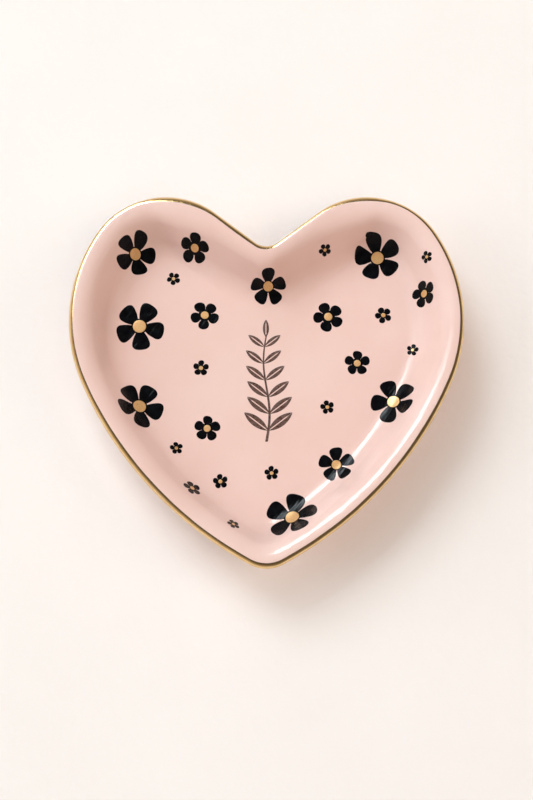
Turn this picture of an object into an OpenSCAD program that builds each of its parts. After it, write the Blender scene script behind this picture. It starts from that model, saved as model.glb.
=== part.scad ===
// Heart-shaped trinket dish: one open stoneware bowl with a rolled lip, standing on a bare
// foot ring. A gold line runs round the lip, and flower prints and a leafy sprig are fired
// on to the glaze. +Z is up, the lobes point to +Y, the tip to -Y, and Z = 0 is the table.

/* [Heart outline] */
// Width across the lobes, outside the lip
dish_w = 116; // [112:1:124]
// Radius of the notch between the lobes
notch_r = 5.5; // [4:0.5:7]
// Angle at which each flank climbs away from the notch
flank_a = 38; // [36:1:40]
// Radius of each lobe
lobe_r = 24; // [22:0.5:26]
// Angle that the lobe turns through
lobe_turn = 95; // [92:1:98]
// Radius of each side, below the lobe
side_r = 49; // [46:1:51]
// Angle that the side turns through
side_turn = 56.5; // [54:0.5:58]
// Radius of the long curve down to the tip
lower_r = 112; // [105:1:120]
// Angle that the long curve turns through
lower_turn = 38; // [36:0.5:39]

/* [Bowl] */
// Height of the lip above the table
dish_h = 18; // [16:0.5:22]
// Height of the flat floor above the table
floor_z = 6.2; // [5.6:0.2:6.8]
// Width of the wall in plan, from the outside of the lip to the flat floor
wall_w = 16; // [15:0.5:18]
// Thickness of the clay
clay_t = 3.2; // [2.6:0.2:3.4]
// Radius where the wall rises out of the floor
fillet_r = 7; // [5:0.5:8]
// Radius at which the wall rolls over into the lip
roll_r = 6; // [4:0.5:6.5]
// Radius of the floor's outline at the tip
floor_tip_r = 5; // [3:0.5:7]

/* [Foot ring] */
// Width of the bare ring
foot_w = 3; // [2:0.5:4]
// How far the ring stands in from the edge of the flat floor
foot_in = 0.5; // [0:0.5:1]

/* [Gold lip line] */
// Thickness of the lustre
band_t = 0.2; // [0.15:0.05:0.3]
// Where the line starts on top of the lip, as an angle round the lip from level
band_top_a = 76; // [50:2:84]
// Where the line ends below the lip, as an angle round the lip from level
band_low_a = -36; // [-50:2:-10]

/* [Flower prints] */
// Thickness of the black petals
petal_t = 0.2; // [0.15:0.05:0.3]
// Thickness of the gold centres
centre_t = 0.25; // [0.2:0.05:0.35]
// Radius of a gold centre, as a share of the flower's radius
centre_share = 0.27; // [0.24:0.01:0.28]
// How much of the slope's extra length the prints take up, the rest being stretch
slope_share = 0.6; // [0:0.05:1]

/* [Sprig print] */
// Length of the stem
stem_l = 33; // [28:1:35]
// Width of the stem
stem_w = 0.8; // [0.6:0.1:1.2]
// How far the stem sways to each side
stem_sway = 0.9; // [0:0.1:1.5]
// Number of pairs of leaves
leaf_pairs = 6; // [4:1:7]
// Length of the longest leaf
leaf_l = 9.5; // [7:0.5:10]
// Angle between a leaf and the stem
leaf_a = 52; // [45:1:60]

/* [Hidden] */
// Steps round the outline, along each arc of the wall's section inside and out, and round the lustre
RIM_STEPS = 120;
ARC_STEPS = 6;
BACK_STEPS = 4;
BAND_STEPS = 6;
// Rows along a printed petal or centre, and steps along the stem
PRINT_ROWS = 7;
STEM_STEPS = 24;
// Height in plan of the stem's foot, and the width of a leaf's open midrib
SPRIG_FOOT = -16.5;
VEIN_W = 0.3;
// Flowers wider than this have wedge-shaped petals, and the others have round ones
BOLD_D = 10;
PETALS = 5;

// Flower prints: [x, y, diameter, direction of one petal]
FLOWERS = [
    [-39.5, 41.0, 12.6, 0],
    [-21.5, 42.0, 9.2, 5],
    [-28.0, 34.0, 4.0, 47],
    [-18.5, 22.5, 8.8, 50],
    [-38.0, 19.0, 14.8, 60],
    [-37.5, -6.0, 14.4, 59],
    [-19.5, 6.0, 4.8, 16],
    [-17.5, -12.5, 7.8, 16],
    [-26.5, -18.5, 3.8, 29],
    [-21.5, -31.5, 5.4, 32],
    [-13.5, -28.5, 4.4, 26],
    [-9.5, -42.5, 3.8, 39],
    [0.5, 30.5, 10.8, 20],
    [17.5, 41.0, 3.8, 55],
    [33.5, 40.5, 14.0, 29],
    [47.5, 37.5, 3.4, 33],
    [47.0, 28.0, 7.8, 28],
    [18.5, 22.0, 9.2, 41],
    [35.0, 22.5, 5.0, 43],
    [27.0, 7.5, 7.6, 16],
    [43.5, 11.5, 3.6, 2],
    [37.5, -4.5, 13.6, 36],
    [18.0, -6.0, 4.2, 30],
    [20.5, -23.5, 10.4, 21],
    [1.5, -26.0, 4.2, 23],
    [7.5, -39.5, 15.2, 10],
];

function two_digits(n) = str(n < 10 ? "0" : "", n);
function petals_name(i) = str("flower_", two_digits(i + 1), "_petals");
function centre_name(i) = str("flower_", two_digits(i + 1), "_centre");

// ---- Heart outline: a chain of arcs, each tangent to the next ----

// The left-hand normal of a line that heads at angle a
function left_of(a) = [-sin(a), cos(a)];

lobe_a = flank_a - lobe_turn;
side_a = lobe_a - side_turn;
lower_a = side_a - lower_turn;
flank_l = (dish_w / 2 - side_r - (notch_r + lobe_r) * sin(flank_a) + (lobe_r - side_r) * sin(lobe_a))
    / cos(flank_a);

// The chain is drawn from the centre of the notch, then moved to put its middle on the origin
raw_flank = -notch_r * left_of(flank_a) + flank_l * [cos(flank_a), sin(flank_a)];
raw_lobe = raw_flank - lobe_r * left_of(flank_a);
raw_side = raw_lobe + (lobe_r - side_r) * left_of(lobe_a);
raw_lower = raw_side + (side_r - lower_r) * left_of(side_a);
raw_end = raw_lower + lower_r * left_of(lower_a);
tip_r = raw_end.x / left_of(lower_a).x;
raw_tip = raw_end - tip_r * left_of(lower_a);
shift = [0, -(raw_lobe.y + lobe_r + raw_tip.y - tip_r) / 2];

notch_c = shift;
lobe_c = raw_lobe + shift;
side_c = raw_side + shift;
lower_c = raw_lower + shift;

// The tip's arc for an outline that lies d inside the lip
function tip_radius(d) = tip_r + (floor_tip_r - tip_r) * d / wall_w;
function tip_centre(d) = [0, lower_c.y - sqrt((lower_r - d - tip_radius(d)) ^ 2 - lower_c.x ^ 2)];
function tip_join(d) =
    let (way = tip_centre(d) - lower_c)
    lower_c + (lower_r - d) * way / norm(way);

// Distance from the origin to the near and the far side of a circle, in direction dir
function near_side(dir, c, r) = dir * c - sqrt(max((dir * c) ^ 2 - c * c + r * r, 0));
function far_side(dir, c, r) = dir * c + sqrt(max((dir * c) ^ 2 - c * c + r * r, 0));
function bearing(p) = atan2(p.y, p.x);

// Distance from the origin at angle a to the outline that lies d inside the lip
function reach(a, d) =
    let (
        dir = [abs(cos(a)), sin(a)],
        b = bearing(dir),
        flank_end = lobe_c + (lobe_r - d) * left_of(flank_a)
    )
    b < bearing(tip_join(d)) ? far_side(dir, tip_centre(d), tip_radius(d))
    : b < bearing(lower_c + (lower_r - d) * left_of(side_a)) ? far_side(dir, lower_c, lower_r - d)
    : b < bearing(side_c + (side_r - d) * left_of(lobe_a)) ? far_side(dir, side_c, side_r - d)
    : b < bearing(flank_end) ? far_side(dir, lobe_c, lobe_r - d)
    : b < bearing(notch_c - (notch_r + d) * left_of(flank_a))
        ? (left_of(flank_a) * flank_end) / (left_of(flank_a) * dir)
    : near_side(dir, notch_c, notch_r + d);

// The heart as a polygon that lies d inside the lip
RIM_ANGLES = [for (i = [0 : RIM_STEPS - 1]) 360 * i / RIM_STEPS];
function heart(d) = [for (a = RIM_ANGLES) reach(a, d) * [cos(a), sin(a)]];
LIP_HEART = heart(0);
FLOOR_HEART = heart(wall_w);

// On the wall, every ring is spaced evenly between the lip's heart and the floor's
function wall_heart(d) = LIP_HEART + (FLOOR_HEART - LIP_HEART) * d / wall_w;

// How far a point in plan lies inside the lip, measured the same way
function inset_of(p) =
    let (a = bearing(p), rim = reach(a, 0))
    wall_w * (rim - norm(p)) / (rim - reach(a, wall_w));

// ---- Section of the wall, as [inset, height] ----

lip_r = clay_t / 2;
arcs_r = fillet_r + roll_r;
wall_run = wall_w - lip_r;
wall_rise = dish_h - floor_z - arcs_r;
straight_l = sqrt(wall_run ^ 2 + wall_rise ^ 2 - arcs_r ^ 2);
wall_a = atan2(wall_rise, wall_run) + atan2(arcs_r, straight_l);

function steps(from, to, n) = [for (i = [0 : n]) from + (to - from) * i / n];
function fillet_arc(a, r) = [wall_w - r * sin(a), floor_z + fillet_r - r * cos(a)];
function roll_arc(a, r) = [lip_r + r * sin(a), dish_h - roll_r + r * cos(a)];
function lip_arc(a, r) = [lip_r - r * cos(a), dish_h - lip_r + r * sin(a)];

INSIDE = concat(
    [for (a = steps(0, wall_a, ARC_STEPS)) fillet_arc(a, fillet_r)],
    [for (a = steps(wall_a, 0, ARC_STEPS)) roll_arc(a, roll_r)]
);
OUTSIDE = concat(
    [for (a = steps(72, -72, 2 * BACK_STEPS)) lip_arc(a, lip_r)],
    [for (a = steps(0, wall_a, BACK_STEPS)) roll_arc(a, roll_r - clay_t)],
    [for (a = steps(wall_a, 0, BACK_STEPS)) fillet_arc(a, fillet_r + clay_t)]
);

// ---- The inside surface, as the prints need it ----

// Length along the slope from the floor's edge, as far as the prints follow it
function slope_step(i) =
    let (d = INSIDE[i] - INSIDE[i - 1])
    norm([d.x, d.y * slope_share]);
function slope_length(i) = i == 0 ? 0 : slope_length(i - 1) + slope_step(i);

RUNS = [for (i = [0 : len(INSIDE) - 1]) [wall_w - INSIDE[i].x, slope_length(i)]];
RUNS_BACK = [for (r = RUNS) [r[1], r[0]]];
HEIGHTS = [for (p = INSIDE) [wall_w - p.x, p.y]];

function height_of(p) = lookup(wall_w - inset_of(p), HEIGHTS);
function length_at(run) = run < 0 ? run : lookup(run, RUNS);
function run_at(length) = length < 0 ? length : lookup(length, RUNS_BACK);

// The direction out of the bowl at a point, square to the wall
function uphill(p) =
    let (
        e = 0.2,
        slope = [inset_of(p - [e, 0]) - inset_of(p + [e, 0]), inset_of(p - [0, e]) - inset_of(p + [0, e])]
    )
    slope / norm(slope);

// A print's point q, measured on the flat from the print's middle, laid on the bowl at spot
function laid(spot, out, q) =
    let (
        side = [-out.y, out.x],
        run = wall_w - inset_of(spot)
    )
    spot + out * (run_at(length_at(run) + q * out) - run) + side * (q * side);

// ---- Building blocks ----

function flat_list(lists) = [for (list = lists) for (item = list) item];
function backwards(list) = [for (i = [len(list) - 1 : -1 : 0]) list[i]];

// The two triangles between points i and i + 1 of one ring and of the next
function quad(ring, next, i, n) =
    let (j = (i + 1) % n, a = ring * n, b = next * n)
    [[a + i, a + j, b + j], [a + i, b + j, b + i]];

// A solid through rings of equal length. Each ring turns anticlockwise as seen along the way
// to the next. The caps close both ends as point lists, and without caps the last ring
// joins the first.
module loft(rings, caps) {
    n = len(rings[0]);
    count = len(rings);
    end = (count - 1) * n;
    polyhedron(
        points = flat_list(rings),
        faces = concat(
            [for (cap = caps) backwards(cap)],
            flat_list([
                for (k = [0 : len(caps) > 0 ? count - 2 : count - 1])
                    for (i = [0 : n - 1]) quad(k, (k + 1) % count, i, n)
            ]),
            [for (cap = caps) [for (i = cap) i + end]]
        )
    );
}

// A ring of the heart, for one point of a section
function wall_ring(p) = [for (q = wall_heart(p.x)) [q.x, q.y, p.y]];

// One print laid on the bowl. Each row is [distance along the print, half its width there],
// and the print points in direction turn from its flower's middle at spot.
function print_point(spot, out, turn, along, across) =
    laid(spot, out, along * [cos(turn), sin(turn)] + across * left_of(turn));

module bent_print(spot, out, turn, rows, t) {
    loft(
        [
            for (row = rows)
                let (
                    line = [for (side = [-1, 0, 1]) print_point(spot, out, turn, row[0], side * row[1])],
                    low = [for (p = line) [p.x, p.y, height_of(p)]],
                    high = [for (p = low) p + [0, 0, t]]
                )
                concat(high, backwards(low))
        ],
        [[0, 1, 4, 5], [1, 2, 3, 4]]
    );
}

module flat_print(spot, turn, rows, t) {
    translate([spot.x, spot.y, floor_z])
        rotate(turn)
            linear_extrude(t)
                polygon(concat([for (row = rows) [row[0], -row[1]]], [for (row = backwards(rows)) row]));
}

// A print is flat where all of it lies inside the floor's edge
module print(spot, turn, rows, t) {
    far_row = rows[len(rows) - 1];
    far_end = spot + (far_row[0] + far_row[1]) * [cos(turn), sin(turn)];
    reach_out = max([for (row = rows) row[1]]);
    on_floor = min(inset_of(spot), inset_of(far_end)) - reach_out > wall_w;
    if (on_floor)
        flat_print(spot, turn, rows, t);
    else
        bent_print(spot, uphill(spot), turn, rows, t);
}

// ---- Dish ----

module dish_body() {
    rings = [for (p = concat(INSIDE, OUTSIDE)) wall_ring(p)];
    color("#efcfc7")
        loft(rings, [[for (i = [0 : RIM_STEPS - 1]) i]]);
}

module foot_ring() {
    color("#e6d8c8")
        linear_extrude(floor_z - clay_t)
            difference() {
                polygon(heart(wall_w + foot_in));
                polygon(heart(wall_w + foot_in + foot_w));
            }
}

module rim_band() {
    sweep = steps(band_top_a, band_low_a, BAND_STEPS);
    section = concat(
        [for (a = sweep) lip_arc(a, lip_r + band_t)],
        [for (a = backwards(sweep)) lip_arc(a, lip_r)]
    );
    color("#c9963f")
        loft([for (p = section) wall_ring(p)], []);
}

// ---- Flowers ----

// A petal is an egg whose blunt end is outwards. Its taper runs from 0, an oval, to 1, a wedge.
function petal_rows(r, taper) =
    let (
        half_l = 0.38 + 0.11 * taper,
        half_w = 0.334 - 0.06 * taper,
        base = centre_share + 0.01,
        first = acos((base - 1 + half_l) / half_l)
    )
    [
        for (a = steps(first, 14, PRINT_ROWS))
            r * [1 - half_l + half_l * cos(a), half_w * sin(a) * (1 + taper * cos(a))]
    ];

function centre_rows(r) = [for (a = steps(165, 15, PRINT_ROWS)) r * [cos(a), sin(a)]];

module flower_petals(i) {
    flower = FLOWERS[i];
    spot = [flower[0], flower[1]];
    rows = petal_rows(flower[2] / 2, flower[2] > BOLD_D ? 0.9 : 0.4);
    color("#141416")
        for (n = [0 : PETALS - 1])
            print(spot, flower[3] + n * 360 / PETALS, rows, petal_t);
}

module flower_centre(i) {
    flower = FLOWERS[i];
    spot = [flower[0], flower[1]];
    r = flower[2] / 2 * centre_share;
    color("#d3a55a")
        if (inset_of(spot) - r > wall_w)
            translate([spot.x, spot.y, floor_z]) cylinder(r = r, h = centre_t, $fn = 48);
        else
            bent_print(spot, uphill(spot), 0, centre_rows(r), centre_t);
}

// ---- Sprig ----

function stem_point(t) = [stem_sway * sin(360 * t), SPRIG_FOOT + stem_l * t];

module leaf(length) {
    bow = length * 0.85;
    drop = sqrt(bow ^ 2 - (length / 2) ^ 2);
    difference() {
        intersection() {
            translate([length / 2, drop]) circle(r = bow, $fn = 96);
            translate([length / 2, -drop]) circle(r = bow, $fn = 96);
        }
        translate([length * 0.15, -VEIN_W / 2]) square([length * 0.6, VEIN_W]);
    }
}

module sprig() {
    color("#5f463c")
        translate([0, 0, floor_z])
            linear_extrude(petal_t) {
                sides = [for (t = steps(0, 1, STEM_STEPS)) stem_point(t)];
                half = [stem_w / 2, 0];
                polygon(concat([for (p = sides) p + half], [for (p = backwards(sides)) p - half]));
                for (k = [0 : leaf_pairs - 1]) {
                    t = 0.1 + 0.78 * k / (leaf_pairs - 1);
                    for (side = [-1, 1])
                        translate(stem_point(t)) rotate(90 - side * leaf_a) leaf(leaf_l * (1 - 0.4 * t));
                }
                translate(stem_point(0.97)) rotate(90) leaf(leaf_l * 0.6);
            }
}

dish_body();
foot_ring();
rim_band();
sprig();
for (i = [0 : len(FLOWERS) - 1]) {
    flower_petals(i);
    flower_centre(i);
}
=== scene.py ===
"""Looks of a heart-shaped trinket dish: glazed stoneware with a gold lip line and fired-on prints.

Shapes are worked out in millimetres, and become metres as each mesh is made. The bowl, and the
way a print is laid on it, follow the CAD model's formulas. The petals have outlines of their own.
The dish's outline is a chain of arcs, and an inset is a distance inside the lip.
"""

import math
import random

import bpy
import numpy as np
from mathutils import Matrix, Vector


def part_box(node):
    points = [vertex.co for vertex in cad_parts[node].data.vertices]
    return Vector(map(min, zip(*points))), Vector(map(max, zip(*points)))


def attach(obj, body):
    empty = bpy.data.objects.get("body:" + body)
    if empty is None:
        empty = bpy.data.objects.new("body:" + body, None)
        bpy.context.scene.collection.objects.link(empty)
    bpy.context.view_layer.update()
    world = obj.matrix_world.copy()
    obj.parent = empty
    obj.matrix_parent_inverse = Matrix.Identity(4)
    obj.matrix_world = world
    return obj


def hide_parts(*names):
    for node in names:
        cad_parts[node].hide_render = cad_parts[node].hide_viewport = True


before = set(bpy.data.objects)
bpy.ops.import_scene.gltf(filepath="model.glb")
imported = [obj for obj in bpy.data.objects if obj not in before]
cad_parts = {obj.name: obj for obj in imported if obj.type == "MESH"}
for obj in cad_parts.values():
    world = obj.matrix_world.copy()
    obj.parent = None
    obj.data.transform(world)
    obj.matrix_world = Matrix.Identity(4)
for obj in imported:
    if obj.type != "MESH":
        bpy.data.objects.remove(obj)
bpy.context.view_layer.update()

MM = 0.001

# ---- Dimensions of the CAD model, in millimetres and degrees ----

DISH_W = 116
NOTCH_R = 5.5
FLANK_A = 38
LOBE_R = 24
LOBE_TURN = 95
SIDE_R = 49
SIDE_TURN = 56.5
LOWER_R = 112
LOWER_TURN = 38
WALL_W = 16
FILLET_R = 7
ROLL_R = 6
FLOOR_TIP_R = 5
FOOT_W = 3
FOOT_IN = 0.5
BAND_TOP_A = 76
BAND_LOW_A = -36
CENTRE_SHARE = 0.27
SLOPE_SHARE = 0.6
STEM_L = 33
STEM_W = 0.8
STEM_SWAY = 0.9
LEAF_PAIRS = 6
LEAF_L = 9.5
LEAF_A = 52
VEIN_W = 0.3
BOLD_D = 10
PETALS = 5

# The heights and the place of the stem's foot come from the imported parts
DISH_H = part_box("dish_body")[1].z / MM
FLOOR_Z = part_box("sprig")[0].z / MM
UNDER_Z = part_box("dish_body")[0].z / MM
SPRIG_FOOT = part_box("sprig")[0].y / MM
CLAY_T = FLOOR_Z - UNDER_Z
LIP_R = CLAY_T / 2

# Flower prints: [x, y, diameter, direction of one petal]
FLOWERS = [
    [-39.5, 41.0, 12.6, 0],
    [-21.5, 42.0, 9.2, 5],
    [-28.0, 34.0, 4.0, 47],
    [-18.5, 22.5, 8.8, 50],
    [-38.0, 19.0, 14.8, 60],
    [-37.5, -6.0, 14.4, 59],
    [-19.5, 6.0, 4.8, 16],
    [-17.5, -12.5, 7.8, 16],
    [-26.5, -18.5, 3.8, 29],
    [-21.5, -31.5, 5.4, 32],
    [-13.5, -28.5, 4.4, 26],
    [-9.5, -42.5, 3.8, 39],
    [0.5, 30.5, 10.8, 20],
    [17.5, 41.0, 3.8, 55],
    [33.5, 40.5, 14.0, 29],
    [47.5, 37.5, 3.4, 33],
    [47.0, 28.0, 7.8, 28],
    [18.5, 22.0, 9.2, 41],
    [35.0, 22.5, 5.0, 43],
    [27.0, 7.5, 7.6, 16],
    [43.5, 11.5, 3.6, 2],
    [37.5, -4.5, 13.6, 36],
    [18.0, -6.0, 4.2, 30],
    [20.5, -23.5, 10.4, 21],
    [1.5, -26.0, 4.2, 23],
    [7.5, -39.5, 15.2, 10],
]

# ---- How finely the visible shapes are cut ----

RIM_STEPS = 600
FLOOR_RINGS = 10
ARC_STEPS = 14
LIP_STEPS = 20
SLOPE_STEPS = 4
BAND_STEPS = 12
STEM_STEPS = 40
LEAF_STEPS = 14
PETAL_STEPS = 40
TINY_STEPS = 24

# Edges that turn by more than this stay crisp
CREASE_A = 50

# ---- Thickness of the coats, which are thinner than the CAD model's solids ----

PRINT_T = 0.05
GOLD_T = 0.06
LUSTRE_T = 0.07

# How far the black that joins the petals stands above them
EYE_RISE = 0.005

# How deep each coat is bedded in the glaze, so that no gap shows under it
BEDDED = 0.03


def left_of(a):
    """The left-hand normal of a line that heads at angle a."""
    return np.array([-math.sin(math.radians(a)), math.cos(math.radians(a))])


def heading(a):
    """The direction of a line that heads at angle a."""
    return np.array([math.cos(math.radians(a)), math.sin(math.radians(a))])


# ---- Heart outline ----

LOBE_A = FLANK_A - LOBE_TURN
SIDE_A = LOBE_A - SIDE_TURN
LOWER_A = SIDE_A - LOWER_TURN
FLANK_RUN = (
    DISH_W / 2
    - SIDE_R
    + (NOTCH_R + LOBE_R) * left_of(FLANK_A)[0]
    - (LOBE_R - SIDE_R) * left_of(LOBE_A)[0]
)
FLANK_L = FLANK_RUN / heading(FLANK_A)[0]

# The chain is drawn from the centre of the notch, then moved to put its middle on the origin
raw_lobe = FLANK_L * heading(FLANK_A) - (NOTCH_R + LOBE_R) * left_of(FLANK_A)
raw_side = raw_lobe + (LOBE_R - SIDE_R) * left_of(LOBE_A)
raw_lower = raw_side + (SIDE_R - LOWER_R) * left_of(SIDE_A)
raw_end = raw_lower + LOWER_R * left_of(LOWER_A)
TIP_R = raw_end[0] / left_of(LOWER_A)[0]
raw_tip = raw_end - TIP_R * left_of(LOWER_A)
NOTCH_C = np.array([0, -(raw_lobe[1] + LOBE_R + raw_tip[1] - TIP_R) / 2])
LOBE_C = raw_lobe + NOTCH_C
SIDE_C = raw_side + NOTCH_C
LOWER_C = raw_lower + NOTCH_C


def tip_arc(inset):
    """Radius, centre and end of the tip's arc, for the outline at an inset."""
    radius = TIP_R + (FLOOR_TIP_R - TIP_R) * inset / WALL_W
    drop = math.sqrt((LOWER_R - inset - radius) ** 2 - LOWER_C[0] ** 2)
    centre = np.array([0, LOWER_C[1] - drop])
    way = centre - LOWER_C
    return radius, centre, LOWER_C + (LOWER_R - inset) * way / np.linalg.norm(way)


def circle_side(way, centre, radius, sign):
    """Distance from the origin to one side of a circle, along each row of way."""
    middle = way @ centre
    return middle + sign * np.sqrt(np.maximum(middle**2 - centre @ centre + radius**2, 0))


def bearing(point):
    """The angle of a point from +X, seen from the origin, in radians."""
    return math.atan2(point[1], point[0])


def reach(angles, inset):
    """Distance from the origin to the outline at an inset, at each angle in radians."""
    way = np.stack([np.abs(np.cos(angles)), np.sin(angles)], -1)
    facing = np.arctan2(way[:, 1], way[:, 0])
    tip_radius, tip_centre, tip_end = tip_arc(inset)
    normal = left_of(FLANK_A)
    flank_end = LOBE_C + (LOBE_R - inset) * normal
    ends = [
        tip_end,
        LOWER_C + (LOWER_R - inset) * left_of(SIDE_A),
        SIDE_C + (SIDE_R - inset) * left_of(LOBE_A),
        flank_end,
        NOTCH_C - (NOTCH_R + inset) * normal,
    ]
    lengths = [
        circle_side(way, tip_centre, tip_radius, 1),
        circle_side(way, LOWER_C, LOWER_R - inset, 1),
        circle_side(way, SIDE_C, SIDE_R - inset, 1),
        circle_side(way, LOBE_C, LOBE_R - inset, 1),
        (normal @ flank_end) / (way @ normal),
    ]
    notch = circle_side(way, NOTCH_C, NOTCH_R + inset, -1)
    return np.select([facing < bearing(end) for end in ends], lengths, notch)


def heart(inset):
    """The outline at an inset, as points in plan."""
    return reach(RIM_ANGLES, inset)[:, None] * RIM_WAYS


RIM_ANGLES = np.arange(RIM_STEPS) * 2 * math.pi / RIM_STEPS
RIM_WAYS = np.stack([np.cos(RIM_ANGLES), np.sin(RIM_ANGLES)], -1)
LIP_HEART = heart(0)
FLOOR_HEART = heart(WALL_W)


def wall_heart(inset):
    """A ring of the wall, whose rings are spaced evenly from the lip's outline to the floor's."""
    return LIP_HEART + (FLOOR_HEART - LIP_HEART) * np.reshape(inset, (-1, 1)) / WALL_W


def inset_of(points):
    """How far points in plan lie inside the lip, measured the same way."""
    points = np.atleast_2d(points)
    angles = np.arctan2(points[:, 1], points[:, 0])
    rim = reach(angles, 0)
    return WALL_W * (rim - np.linalg.norm(points, axis=1)) / (rim - reach(angles, WALL_W))


# ---- Section of the wall, as [inset, height] ----

ARCS_R = FILLET_R + ROLL_R
WALL_RUN = WALL_W - LIP_R
WALL_RISE = DISH_H - FLOOR_Z - ARCS_R
STRAIGHT_L = math.sqrt(WALL_RUN**2 + WALL_RISE**2 - ARCS_R**2)
WALL_A = math.degrees(math.atan2(WALL_RISE, WALL_RUN) + math.atan2(ARCS_R, STRAIGHT_L))


def arc(start, end, steps, centre, radius):
    """Points on an arc whose angle is measured from straight up, towards the inside of the bowl."""
    turn = np.radians(np.linspace(start, end, steps + 1))
    return np.stack([centre[0] + radius * np.sin(turn), centre[1] + radius * np.cos(turn)], -1)


FILLET_C = [WALL_W, FLOOR_Z + FILLET_R]
ROLL_C = [LIP_R, DISH_H - ROLL_R]
LIP_C = [LIP_R, DISH_H - LIP_R]


def slope(fillet_r, roll_r):
    """Fillet, straight slope and roll, from the floor up to the lip."""
    fillet = arc(180, 180 + WALL_A, ARC_STEPS, FILLET_C, fillet_r)
    roll = arc(WALL_A, 0, ARC_STEPS, ROLL_C, roll_r)
    straight = np.linspace(fillet[-1], roll[0], SLOPE_STEPS + 2)[1:-1]
    return np.concatenate([fillet, straight, roll])


INSIDE = slope(FILLET_R, ROLL_R)
OUTSIDE = slope(FILLET_R + CLAY_T, ROLL_R - CLAY_T)[::-1]
LIP = arc(0, -180, LIP_STEPS, LIP_C, LIP_R)[1:-1]

# ---- The inside surface, as the prints need it ----

# Distance out from the floor's edge, and the length up the slope as far as the prints follow it
RUNS = WALL_W - INSIDE[:, 0]
STRIDES = np.hypot(np.diff(RUNS), np.diff(INSIDE[:, 1]) * SLOPE_SHARE)
LENGTHS = np.concatenate([[0], np.cumsum(STRIDES)])


def height_of(points):
    """Height of the bowl's inside at points in plan."""
    return np.interp(WALL_W - inset_of(points), RUNS, INSIDE[:, 1])


def length_at(run):
    """Length up the slope at a distance out from the floor's edge. The floor itself is level."""
    return np.where(run < 0, run, np.interp(run, RUNS, LENGTHS))


def run_at(length):
    """The distance out from the floor's edge at a length up the slope."""
    return np.where(length < 0, length, np.interp(length, LENGTHS, RUNS))


def uphill(spot):
    """The direction out of the bowl at a point, square to the wall."""
    step = 0.2
    around = spot + step * np.array([[-1, 0], [1, 0], [0, -1], [0, 1]])
    inset = inset_of(around)
    rise = np.array([inset[0] - inset[1], inset[2] - inset[3]])
    return rise / np.linalg.norm(rise)


def laid(spot, flat):
    """A print's points, measured on the flat from the print's middle, laid on the bowl at spot."""
    out = uphill(spot)
    side = np.array([-out[1], out[0]])
    run = WALL_W - inset_of(spot)
    climbed = run_at(length_at(run) + flat @ out) - run
    return spot + np.outer(climbed, out) + np.outer(flat @ side, side)


# ---- Meshes ----


def with_height(points, height):
    """Points in plan, with one height for all of them or a height for each."""
    return np.column_stack([points, np.broadcast_to(height, len(points))])


def make_piece(name, points, faces, replaces, material):
    """A smooth piece with crisp edges, made from points in millimetres. It stands for a CAD node."""
    mesh = bpy.data.meshes.new(name)
    mesh.from_pydata((np.asarray(points) * MM).tolist(), [], faces)
    mesh.validate()
    mesh.polygons.foreach_set("use_smooth", [True] * len(mesh.polygons))
    mesh.set_sharp_from_angle(angle=math.radians(CREASE_A))
    mesh.materials.append(material)
    piece = bpy.data.objects.new(name, mesh)
    bpy.context.scene.collection.objects.link(piece)
    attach(piece, "root")
    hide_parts(replaces)
    return piece


def closed_skin(top, rings, bottom, offset=0):
    """Points and faces of a closed skin: a top point, rings that turn anticlockwise, a bottom point."""
    n = len(rings[0])
    count = len(rings)
    points = np.concatenate([[top], *rings, [bottom]])
    last = offset + len(points) - 1
    index = offset + 1 + np.arange(count * n).reshape(count, n)
    following = np.roll(index, -1, axis=1)
    faces = [[offset, index[0, i], following[0, i]] for i in range(n)]
    for k in range(count - 1):
        faces += np.stack([index[k], index[k + 1], following[k + 1], following[k]], -1).tolist()
    faces += [[last, following[-1, i], index[-1, i]] for i in range(n)]
    return points, [[int(v) for v in face] for face in faces]


def closed_tube(sections):
    """Points and faces of a tube that joins up with itself. sections has one row per step round it."""
    count, n, _ = sections.shape
    index = np.arange(count * n).reshape(count, n)
    ahead = np.roll(index, -1, axis=0)
    side = np.roll(index, -1, axis=1)
    both = np.roll(ahead, -1, axis=1)
    faces = np.stack([index, ahead, both, side], -1).reshape(-1, 4).tolist()
    return sections.reshape(-1, 3), faces


# ---- Dish ----

# Depth of the glaze at the middle of the floor and underneath, where the pool by the wall is 1
FLOOR_DEPTH = 0.55
UNDER_DEPTH = 0.5

# How far the foot's bottom edges are rubbed away
FOOT_RUB = 0.6

# How many waves each waver in the gold line has in a turn round the lip
WAVER_WAVES = (3, 7, 13, 22, 37)

# Where the gold line's upper edge rises, or falls if negative: degrees, direction and spread
BAND_SWELLS = [(16, 100, 9), (6, 215, 22), (-12, 74, 12)]


def glaze_pool_and_shade(inset):
    """How thick the glaze lies: thin where it breaks over the lip, thick by the floor's edge. On the
    wall it also stands for painted shade, so the pink deepens towards the floor.
    """
    return float(np.clip(inset / WALL_W, 0, 1))


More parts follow.
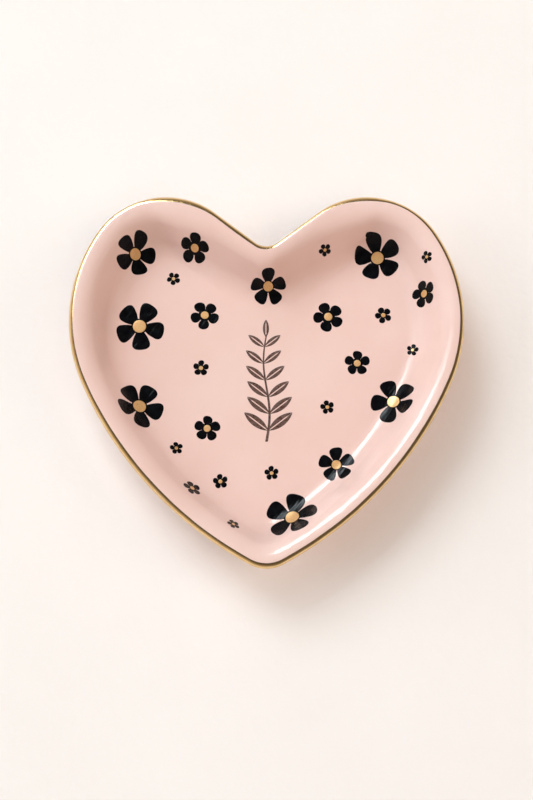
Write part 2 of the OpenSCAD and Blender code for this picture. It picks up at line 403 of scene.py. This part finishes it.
def make_body(material):
    """The bowl. An attribute on its points tells the glaze where it runs thin and where it pools. On
    the wall it also carries painted shade.
    """
    shares = np.linspace(0, 1, FLOOR_RINGS + 1)[1:-1]
    rings = [with_height(FLOOR_HEART * share, FLOOR_Z) for share in shares]
    pools_and_shades = [FLOOR_DEPTH + (1 - FLOOR_DEPTH) * share**4 for share in shares]
    # On the wall these values are real glaze pooling and also painted shade, deeper towards the floor.
    for inset, height in np.concatenate([INSIDE, LIP, OUTSIDE]):
        rings.append(with_height(wall_heart(inset), height))
        pools_and_shades.append(glaze_pool_and_shade(inset))
    rings += [with_height(FLOOR_HEART * share, UNDER_Z) for share in shares[::-1]]
    pools_and_shades += [UNDER_DEPTH] * len(shares)
    points, faces = closed_skin([0, 0, FLOOR_Z], rings, [0, 0, UNDER_Z])
    piece = make_piece("glazed_bowl", points, faces, "dish_body", material)
    attribute = piece.data.attributes.new("glaze_pool_and_shade", "FLOAT", "POINT")
    values = np.concatenate([[FLOOR_DEPTH], np.repeat(pools_and_shades, RIM_STEPS), [UNDER_DEPTH]])
    attribute.data.foreach_set("value", values.astype(np.float32))


def make_foot(material):
    """The bare foot ring, with its bottom edges rubbed round."""
    outer = heart(WALL_W + FOOT_IN)
    inner = heart(WALL_W + FOOT_IN + FOOT_W)
    turn = np.radians(np.linspace(0, 90, 7))
    curve_in = (FOOT_RUB * (1 - np.cos(turn))) / FOOT_W
    curve_up = FOOT_RUB * (1 - np.sin(turn))
    across = np.concatenate([[0], curve_in, 1 - curve_in[::-1], [1]])
    height = np.concatenate([[UNDER_Z], curve_up, curve_up[::-1], [UNDER_Z]])
    plan = outer[:, None] + (inner - outer)[:, None] * across[None, :, None]
    sections = np.concatenate([plan, np.broadcast_to(height, plan.shape[:2])[..., None]], -1)
    points, faces = closed_tube(sections)
    make_piece("bare_foot", points, faces, "foot_ring", material)


def waver(angles, seed, size):
    """A slow, uneven waver that joins up with itself after a turn, as a hand-held brush gives."""
    rng = random.Random(seed)
    total = np.zeros_like(angles)
    for waves in WAVER_WAVES:
        total += np.sin(angles * waves + rng.uniform(0, 2 * math.pi)) / math.sqrt(waves)
    return total * size


def swell(angles, middle, spread):
    """A smooth hump, 1 high, at a direction in degrees from +X."""
    away = (np.degrees(angles) - middle + 180) % 360 - 180
    return np.exp(-((away / spread) ** 2))


def make_band(material):
    """The gold line, brushed on by hand: broad to the left of the notch, and thin to its right."""
    top = BAND_TOP_A + waver(RIM_ANGLES, seed=11, size=2.0)
    for size, middle, spread in BAND_SWELLS:
        top += size * swell(RIM_ANGLES, middle, spread)
    low = BAND_LOW_A + waver(RIM_ANGLES, seed=12, size=3.5)
    share = np.linspace(0, 1, BAND_STEPS + 1)
    turn = np.radians(top[:, None] + (low - top)[:, None] * share)
    coat = LUSTRE_T * np.sqrt(np.clip(1 - (2 * share - 1) ** 4, 0, 1))
    out = LIP_R + np.concatenate([coat, np.full(BAND_STEPS + 1, -BEDDED)])
    turn = np.concatenate([turn, turn[:, ::-1]], axis=1)
    inset = LIP_R - out * np.cos(turn)
    across = (FLOOR_HEART - LIP_HEART)[:, None] * inset[..., None] / WALL_W
    height = DISH_H - LIP_R + out * np.sin(turn)
    sections = np.concatenate([LIP_HEART[:, None] + across, height[..., None]], -1)
    points, faces = closed_tube(sections)
    make_piece("gold_lip_line", points, faces, "rim_band", material)


# ---- Prints ----

# Where the skin of a print is cut, from its middle to its edge, and how thick it is there
SKIN_RINGS = [(0.2, 1), (0.4, 1), (0.6, 1), (0.8, 1), (0.92, 0.95), (0.98, 0.6), (1.0, 0.15)]


def print_skin(spot, outline, middle, thickness, offset):
    """A thin closed skin on the bowl that fills an outline drawn on the flat."""
    tops, bottoms = [], []
    for share, coat in SKIN_RINGS:
        plan = laid(spot, middle + (outline - middle) * share)
        height = height_of(plan)
        tops.append(with_height(plan, height + thickness * coat))
        bottoms.append(with_height(plan, height - BEDDED))
    centre = laid(spot, middle[None, :])
    level = height_of(centre)[0]
    top = [*centre[0], level + thickness]
    bottom = [*centre[0], level - BEDDED]
    return closed_skin(top, tops + bottoms[::-1], bottom, offset)


def print_piece(name, spot, drawings, node, material):
    """A piece made of several skins. Each drawing is (outline, middle, thickness), on the flat."""
    points, faces, offset = [], [], 0
    for outline, middle, thickness in drawings:
        skin_points, skin_faces = print_skin(spot, outline, middle, thickness, offset)
        points.append(skin_points)
        faces += skin_faces
        offset += len(skin_points)
    make_piece(name, np.concatenate(points), faces, node, material)


def turned(points, angle):
    """Points in plan, turned anticlockwise about the origin."""
    return np.outer(points[:, 0], heading(angle)) + np.outer(points[:, 1], left_of(angle))


# Flowers wider than BOLD_D have bold petals, and those narrower than this have tiny ones
TINY_D = 6

# A petal's base, tip, width at the base, spread towards the tip and squareness, on a radius of 1
BOLD_PETAL = (0.15, 1, 0.12, 0.36, 2.4)
ROUND_PETAL = (0.28, 1, 0.31, 0.1, 2.1)
TINY_PETAL = (0.27, 1.03, 0.32, 0.09, 2.0)

# The middle of a petal's skin, and the radius of the black that joins the petals
PETAL_MIDDLE = 0.62
BOLD_EYE = 0.33
ROUND_EYE = 0.44

# How unevenly petals are cut: their widths and lengths, and how far they lean and turn
PETAL_WIDTHS = (0.96, 1.03)
PETAL_LENGTHS = (0.97, 1.02)
PETAL_LEAN = 0.06
PETAL_TURN = 2


def petal(radius, shape, rng, steps):
    """A petal along +X, a little uneven as if cut by hand."""
    base, tip, narrow, spread, squareness = shape
    turn = np.arange(steps) * 2 * math.pi / steps
    cosine, sine = (np.sign(f(turn)) * np.abs(f(turn)) ** (2 / squareness) for f in (np.cos, np.sin))
    along = (tip + base) / 2 + (tip - base) / 2 * cosine
    width = (narrow + spread * along) * rng.uniform(*PETAL_WIDTHS)
    lean = rng.uniform(-PETAL_LEAN, PETAL_LEAN)
    along = along * rng.uniform(*PETAL_LENGTHS) + lean * sine * along
    return radius * np.stack([along, width * sine], -1)


def ring_outline(radius, steps):
    """A circle about the origin, as points in plan."""
    turn = np.arange(steps) * 2 * math.pi / steps
    return radius * np.stack([np.cos(turn), np.sin(turn)], -1)


def make_flower(number, flower, black, gold):
    """Five petals that run together round a gold centre."""
    x, y, diameter, turn = flower
    spot = np.array([x, y])
    radius = diameter / 2
    tiny, bold = diameter < TINY_D, diameter > BOLD_D
    shape = TINY_PETAL if tiny else BOLD_PETAL if bold else ROUND_PETAL
    rng = random.Random(number)
    steps = TINY_STEPS if tiny else PETAL_STEPS
    drawings = []
    for n in range(PETALS):
        way = turn + n * 360 / PETALS + rng.uniform(-PETAL_TURN, PETAL_TURN)
        outline = turned(petal(radius, shape, rng, steps), way)
        drawings.append((outline, PETAL_MIDDLE * radius * heading(way), PRINT_T))
    eye = radius * (BOLD_EYE if bold else ROUND_EYE)
    drawings.append((ring_outline(eye, steps), np.zeros(2), PRINT_T + EYE_RISE))
    node = f"flower_{number:02d}"
    print_piece(f"{node}_black", spot, drawings, f"{node}_petals", black)
    disc = ring_outline(radius * CENTRE_SHARE, steps)
    drawing = (disc, np.zeros(2), PRINT_T + GOLD_T)
    print_piece(f"{node}_gold", spot, [drawing], f"{node}_centre", gold)


# ---- Sprig ----

# Places along the stem: the first pair of leaves, the stretch up to the last pair, and the end leaf
FIRST_LEAF = 0.1
LEAF_STRETCH = 0.78
END_LEAF = 0.97

# How much thinner the stem and how much shorter the leaves are at its tip, and the end leaf's length
STEM_TAPER = 0.5
LEAF_TAPER = 0.4
END_LEAF_SHARE = 0.6

# The radius of a leaf's bowed edge, as a share of its length
LEAF_BOW = 0.85

# Where along a leaf its open midrib closes, half the gap left beyond that, how steeply the midrib
# opens at the stem, and how much of the leaf it may take up
RIB_END = 0.8
RIB_CLOSED = 0.02
RIB_OPENING = 8
RIB_MOST = 0.6


def stem_point(share):
    """A point on the stem, which sways once to each side."""
    return np.array([STEM_SWAY * math.sin(2 * math.pi * share), SPRIG_FOOT + STEM_L * share])


def leaf_half(length, side):
    """Half a leaf along +X, from its open midrib to its bowed edge."""
    bow = length * LEAF_BOW
    drop = math.sqrt(bow**2 - (length / 2) ** 2)
    share = np.linspace(0.02, 0.98, LEAF_STEPS)
    along = share * length
    edge = np.sqrt(bow**2 - (along - length / 2) ** 2) - drop
    opening = np.where(share < RIB_END, VEIN_W / 2, RIB_CLOSED)
    opening = opening * np.minimum(share * RIB_OPENING, 1)
    opening = np.minimum(opening, edge * RIB_MOST)
    rim = np.stack([along, edge], -1)
    rib = np.stack([along, opening], -1)[::-1]
    outline = np.concatenate([rib[::-1], rim[::-1]]) * [1, side]
    return outline if side > 0 else outline[::-1]


def make_sprig(material):
    """A leafy sprig in brown print, in the middle of the floor."""
    spot = np.zeros(2)
    drawings = []
    shares = np.linspace(0, 1, STEM_STEPS + 1)
    for share in shares[:-1]:
        start, end = stem_point(share), stem_point(share + shares[1])
        half = np.array([STEM_W / 2 * (1 - STEM_TAPER * share), 0])
        outline = np.array([start + half, end + half, end - half, start - half])
        drawings.append((outline, (start + end) / 2, PRINT_T))
    leaves = []
    for k in range(LEAF_PAIRS):
        share = FIRST_LEAF + LEAF_STRETCH * k / (LEAF_PAIRS - 1)
        length = LEAF_L * (1 - LEAF_TAPER * share)
        for side in (-1, 1):
            leaves.append((stem_point(share), 90 - side * LEAF_A, length))
    leaves.append((stem_point(END_LEAF), 90, LEAF_L * END_LEAF_SHARE))
    for foot, way, length in leaves:
        for side in (-1, 1):
            outline = foot + turned(leaf_half(length, side), way)
            drawings.append((outline, outline.mean(0), PRINT_T))
    print_piece("brown_sprig", spot, drawings, "sprig", material)


# ---- Materials ----

# Direction and stretch of the fine streaks in the glaze and the black print
BRUSHED = (55, 12)

# Places of the colour sockets on a mix node
MIX_A = 6
MIX_B = 7
MIX_RESULT = 2


def new_material(name, color, roughness, metallic=0.0):
    """A material, its node tree and its shader, with the plain values set on the shader itself."""
    material = bpy.data.materials.new(name)
    material.use_nodes = True
    tree = material.node_tree
    shader = tree.nodes["Principled BSDF"]
    shader.inputs["Base Color"].default_value = (*color, 1)
    shader.inputs["Roughness"].default_value = roughness
    shader.inputs["Metallic"].default_value = metallic
    return material, tree, shader


def place(tree):
    """The point on the object, in metres."""
    return tree.nodes.new("ShaderNodeTexCoord").outputs["Object"]


def noise(tree, size, detail=2.0, grain=(0, 1)):
    """A noise value with features size metres wide. grain is their direction and their stretch."""
    direction, stretch = grain
    mapping = tree.nodes.new("ShaderNodeMapping")
    mapping.vector_type = "TEXTURE"
    mapping.inputs["Rotation"].default_value = (0, 0, math.radians(direction))
    mapping.inputs["Scale"].default_value = (stretch, 1, 1)
    tree.links.new(place(tree), mapping.inputs["Vector"])
    node = tree.nodes.new("ShaderNodeTexNoise")
    node.inputs["Scale"].default_value = 1 / size
    node.inputs["Detail"].default_value = detail
    tree.links.new(mapping.outputs["Vector"], node.inputs["Vector"])
    return node.outputs["Fac"]


def between(tree, value, low, high, start=0.0, end=1.0):
    """value, moved from the range low to high into the range start to end."""
    node = tree.nodes.new("ShaderNodeMapRange")
    ends = {"From Min": low, "From Max": high, "To Min": start, "To Max": end}
    for name, number in ends.items():
        node.inputs[name].default_value = number
    tree.links.new(value, node.inputs["Value"])
    return node.outputs["Result"]


def mixed(tree, share, first, second):
    """A colour between two colours. Either may be a colour or another node's output."""
    node = tree.nodes.new("ShaderNodeMix")
    node.data_type = "RGBA"
    tree.links.new(share, node.inputs["Factor"])
    for socket, color in ((node.inputs[MIX_A], first), (node.inputs[MIX_B], second)):
        if isinstance(color, tuple):
            socket.default_value = (*color, 1)
        else:
            tree.links.new(color, socket)
    return node.outputs[MIX_RESULT]


def bump(tree, shader, heights):
    """Bumps the shader's surface. heights lists (value, height in metres) from coarse to fine."""
    normal = None
    for value, distance in heights:
        node = tree.nodes.new("ShaderNodeBump")
        node.inputs["Distance"].default_value = distance
        tree.links.new(value, node.inputs["Height"])
        if normal is not None:
            tree.links.new(normal, node.inputs["Normal"])
        normal = node.outputs["Normal"]
    tree.links.new(normal, shader.inputs["Normal"])


def specks(tree, spacing, share):
    """Small round specks, 1 inside and 0 outside. share is their radius against their spacing."""
    node = tree.nodes.new("ShaderNodeTexVoronoi")
    node.inputs["Scale"].default_value = 1 / spacing
    tree.links.new(place(tree), node.inputs["Vector"])
    solid = share * 0.6
    return between(tree, node.outputs["Distance"], share, solid)


def pink_glaze():
    """Glossy pink glaze. It is paler where it thins over the lip and deeper where it pools, and the
    deeper pink down the wall is partly painted shade.
    """
    thin, full, deep = (0.85, 0.63, 0.575), (0.83, 0.595, 0.54), (0.8, 0.56, 0.5)
    material, tree, shader = new_material("pink_glaze", full, 0.1)
    attribute = tree.nodes.new("ShaderNodeAttribute")
    attribute.attribute_name = "glaze_pool_and_shade"
    # Paler on the lip and deeper by the floor: real glaze pooling, and on the wall painted shade as
    # well.
    pooled_and_shaded = mixed(tree, attribute.outputs["Fac"], thin, full)
    clouds = between(tree, noise(tree, 0.025, 3), 0.4, 0.75)
    clouded = mixed(tree, clouds, pooled_and_shaded, deep)
    dots = between(tree, specks(tree, 0.004, 0.035), 0, 1, 0, 0.25)
    tree.links.new(mixed(tree, dots, clouded, (0.45, 0.28, 0.22)), shader.inputs["Base Color"])
    shader.inputs["Specular IOR Level"].default_value = 0.32
    brushed = noise(tree, 0.0011, 2, BRUSHED)
    tree.links.new(between(tree, brushed, 0.38, 0.66, 0.08, 0.26), shader.inputs["Roughness"])
    bump(tree, shader, [(noise(tree, 0.012, 1), 0.00006), (brushed, 0.00006)])
    return material


def black_print():
    """Black overglaze enamel: glossy, with fine streaks."""
    material, tree, shader = new_material("black_print", (0.003, 0.003, 0.004), 0.15)
    streaks = noise(tree, 0.0007, 2, BRUSHED)
    tree.links.new(between(tree, streaks, 0.3, 0.7, 0.05, 0.09), shader.inputs["Roughness"])
    tint = between(tree, noise(tree, 0.002, 3), 0.35, 0.7)
    color = mixed(tree, tint, (0.002, 0.002, 0.003), (0.005, 0.006, 0.007))
    tree.links.new(color, shader.inputs["Base Color"])
    shader.inputs["Specular IOR Level"].default_value = 0.08
    bump(tree, shader, [(streaks, 0.00015)])
    return material


def gold_lustre():
    """Bright gold lustre, a little worn and unevenly glossy."""
    material, tree, shader = new_material("gold_lustre", (0.85, 0.55, 0.25), 0.2, 1.0)
    worn = between(tree, noise(tree, 0.004, 4), 0.45, 0.7)
    color = mixed(tree, worn, (0.84, 0.59, 0.29), (0.76, 0.52, 0.24))
    tree.links.new(color, shader.inputs["Base Color"])
    satin = between(tree, noise(tree, 0.0009, 3), 0.3, 0.7, 0.13, 0.18)
    tree.links.new(satin, shader.inputs["Roughness"])
    bump(tree, shader, [(noise(tree, 0.004, 2), 0.000006), (noise(tree, 0.0006, 2), 0.000002)])
    return material


def gold_print():
    """Satin gold print, finely grained."""
    material, tree, shader = new_material("gold_print", (0.8, 0.53, 0.22), 0.3, 0.28)
    grain = noise(tree, 0.0004, 3)
    tint = between(tree, grain, 0.35, 0.65)
    color = mixed(tree, tint, (0.765, 0.465, 0.205), (0.65, 0.37, 0.148))
    tree.links.new(color, shader.inputs["Base Color"])
    tree.links.new(between(tree, grain, 0.3, 0.7, 0.24, 0.42), shader.inputs["Roughness"])
    bump(tree, shader, [(grain, 0.00001)])
    return material


def brown_print():
    """Brown overglaze print, thin enough to show a little pink."""
    material, tree, shader = new_material("brown_print", (0.105, 0.051, 0.038), 0.3)
    thin = between(tree, noise(tree, 0.0012, 4), 0.4, 0.75)
    color = mixed(tree, thin, (0.09, 0.043, 0.032), (0.15, 0.08, 0.062))
    tree.links.new(color, shader.inputs["Base Color"])
    satin = between(tree, noise(tree, 0.0008, 2), 0.3, 0.7, 0.22, 0.38)
    tree.links.new(satin, shader.inputs["Roughness"])
    return material


def bare_clay():
    """Unglazed stoneware: dry, sandy and a little stained."""
    material, tree, shader = new_material("bare_clay", (0.72, 0.6, 0.47), 0.9)
    sand = noise(tree, 0.0006, 5)
    color = mixed(tree, between(tree, sand, 0.3, 0.7), (0.76, 0.66, 0.54), (0.6, 0.48, 0.36))
    dots = between(tree, specks(tree, 0.0022, 0.12), 0, 1, 0, 0.5)
    tree.links.new(mixed(tree, dots, color, (0.3, 0.2, 0.14)), shader.inputs["Base Color"])
    tree.links.new(between(tree, sand, 0.3, 0.7, 0.8, 0.97), shader.inputs["Roughness"])
    bump(tree, shader, [(noise(tree, 0.004, 2), 0.0001), (sand, 0.00008)])
    return material


def table_top():
    """Pale, faintly uneven paper. It shows only from above, so that the underside can be seen."""
    material, tree, shader = new_material("table_top", (0.9, 0.872, 0.858), 0.9)
    clouds = between(tree, noise(tree, 0.05, 3), 0.3, 0.7)
    color = mixed(tree, clouds, (0.91, 0.875, 0.855), (0.89, 0.852, 0.83))
    tree.links.new(color, shader.inputs["Base Color"])
    bump(tree, shader, [(noise(tree, 0.0025, 4), 0.0002)])
    clear = tree.nodes.new("ShaderNodeBsdfTransparent")
    side = tree.nodes.new("ShaderNodeNewGeometry")
    choice = tree.nodes.new("ShaderNodeMixShader")
    tree.links.new(side.outputs["Backfacing"], choice.inputs["Fac"])
    tree.links.new(shader.outputs["BSDF"], choice.inputs[1])
    tree.links.new(clear.outputs["BSDF"], choice.inputs[2])
    tree.links.new(choice.outputs["Shader"], tree.nodes["Material Output"].inputs["Surface"])
    return material


# ---- Stage ----


def make_table():
    """The paper that the dish stands on, laid out in metres."""
    half = 4.0
    corners = [(-half, -half, 0), (half, -half, 0), (half, half, 0), (-half, half, 0)]
    mesh = bpy.data.meshes.new("table")
    mesh.from_pydata(corners, [], [[0, 1, 2, 3]])
    mesh.materials.append(table_top())
    table = bpy.data.objects.new("table", mesh)
    bpy.context.scene.collection.objects.link(table)


def from_dish(azimuth, elevation, distance):
    """A place seen from the dish, in metres. Azimuth turns anticlockwise from +X."""
    a, e = math.radians(azimuth), math.radians(elevation)
    return distance * Vector((math.cos(a) * math.cos(e), math.sin(a) * math.cos(e), math.sin(e)))


def make_light(name, azimuth, elevation, distance, width, height, power, color, use):
    """A rectangular light that faces the dish, with its width level. use is gloss, soft or both."""
    data = bpy.data.lights.new(name, "AREA")
    data.shape = "RECTANGLE"
    data.size = width
    data.size_y = height
    data.energy = power
    data.color = color
    light = bpy.data.objects.new(name, data)
    light.location = from_dish(azimuth, elevation, distance)
    light.rotation_euler = light.location.to_track_quat("Z", "Y").to_euler()
    light.visible_glossy = use != "soft"
    light.visible_diffuse = use != "gloss"
    light.visible_camera = False
    bpy.context.scene.collection.objects.link(light)


def make_room():
    """A dim studio: pale near the horizon and on the left, dark overhead. The gold line mirrors it."""
    world = bpy.data.worlds.new("studio")
    world.use_nodes = True
    bpy.context.scene.world = world
    tree = world.node_tree
    direction = tree.nodes.new("ShaderNodeTexCoord")
    height = tree.nodes.new("ShaderNodeVectorMath")
    height.operation = "DOT_PRODUCT"
    height.inputs[1].default_value = (0.3, 0, 1)
    tree.links.new(direction.outputs["Generated"], height.inputs[0])
    ramp = tree.nodes.new("ShaderNodeValToRGB")
    tree.links.new(height.outputs["Value"], ramp.inputs["Fac"])
    elements = ramp.color_ramp.elements
    elements[0].position, elements[0].color = 0.0, (0.75, 0.66, 0.6, 1)
    elements[1].position, elements[1].color = 0.7, (0.13, 0.11, 0.095, 1)
    middle = elements.new(0.2)
    middle.color = (0.5, 0.44, 0.4, 1)
    tree.links.new(ramp.outputs["Color"], tree.nodes["Background"].inputs["Color"])


def make_lights():
    """A strip and a blind draw the highlights. Soft light is cool from behind and the left, and warm
    from in front and the right."""
    cool, warm = (0.85, 0.95, 1), (1, 0.84, 0.72)
    make_light("strip", 115, 45, 1, 0.33, 0.26, 5.6, cool, "gloss")
    make_light("blind", 124, 44, 2, 1.1, 0.9, 16, cool, "both")
    make_light("key", 136, 36, 5, 4, 4, 56, cool, "soft")
    make_light("high_key", 120, 66, 5, 2.5, 2.5, 32, cool, "soft")
    make_light("fill", 300, 66, 5, 3.3, 3.3, 79, warm, "soft")
    make_light("left_fill", 180, 28, 5, 2.5, 2.5, 60, cool, "soft")
    make_light("right_fill", 0, 36, 5, 2.5, 2.5, 53, warm, "soft")


def make_camera():
    """The camera looks down on the dish from in front, 15 degrees off plumb."""
    tilt, distance = 15, 0.548
    target = Vector((0, -6.7 * MM, 17 * MM))
    data = bpy.data.cameras.new("camera")
    data.lens = 85
    camera = bpy.data.objects.new("camera", data)
    camera.location = target + from_dish(-90, 90 - tilt, distance)
    camera.rotation_euler = (math.radians(tilt), 0, 0)
    bpy.context.scene.collection.objects.link(camera)
    bpy.context.scene.camera = camera


make_body(pink_glaze())
make_foot(bare_clay())
make_band(gold_lustre())
black, gold = black_print(), gold_print()
for number, flower in enumerate(FLOWERS, 1):
    make_flower(number, flower, black, gold)
make_sprig(brown_print())
make_table()
make_room()
make_lights()
make_camera()
bpy.context.scene.view_settings.view_transform = "Standard"
